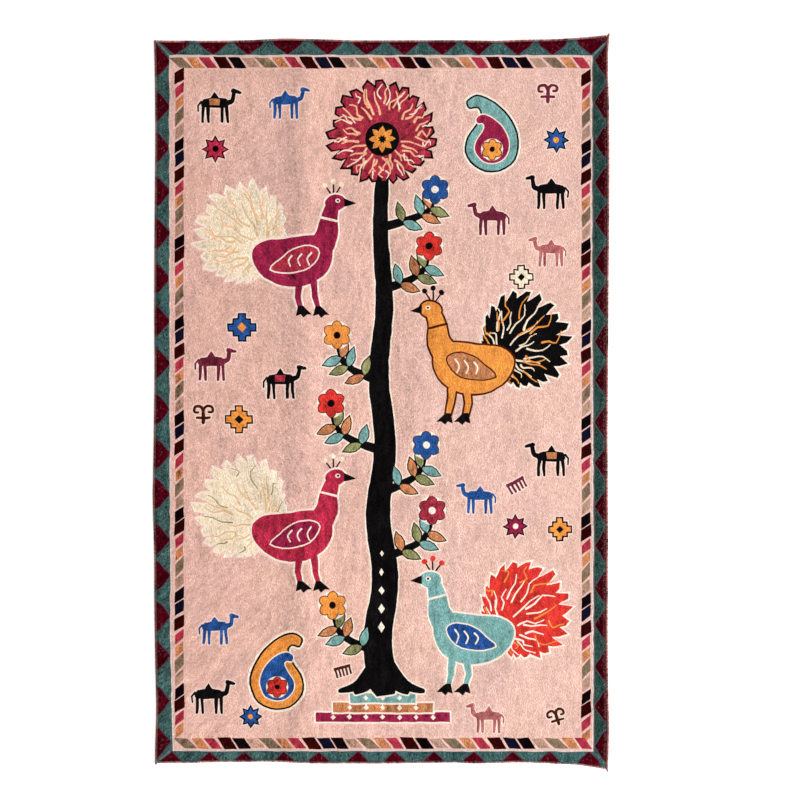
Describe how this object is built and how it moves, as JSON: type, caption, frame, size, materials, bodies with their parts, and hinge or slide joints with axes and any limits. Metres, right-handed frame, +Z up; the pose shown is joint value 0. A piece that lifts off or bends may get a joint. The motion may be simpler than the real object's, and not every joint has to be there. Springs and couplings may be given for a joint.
{
  "type": "area rug",
  "caption": "Flat rectangular rug with a short plush pile, a printed border and an overlocked thread edge, lying face up on a floor.",
  "frame": {"origin": "on the floor under the middle of the rug's box", "axes": "+Y along the rug's length, towards the end at the top of the picture; +X across its width; +Z up out of the pile"},
  "size_m": [1.5394, 2.4902, 0.0109],
  "materials": {
    "plush_pile": "matte cut pile of fine polyester yarn, printed in many colours on a dusty pink ground",
    "overlock_thread": "satin spun polyester thread in close overlock stitches"
  },
  "bodies": {
    "root": {"rug_pile": "plush_pile", "overlock_top": "overlock_thread", "overlock_right": "overlock_thread", "overlock_bottom": "overlock_thread", "overlock_left": "overlock_thread"}
  },
  "joints": []
}
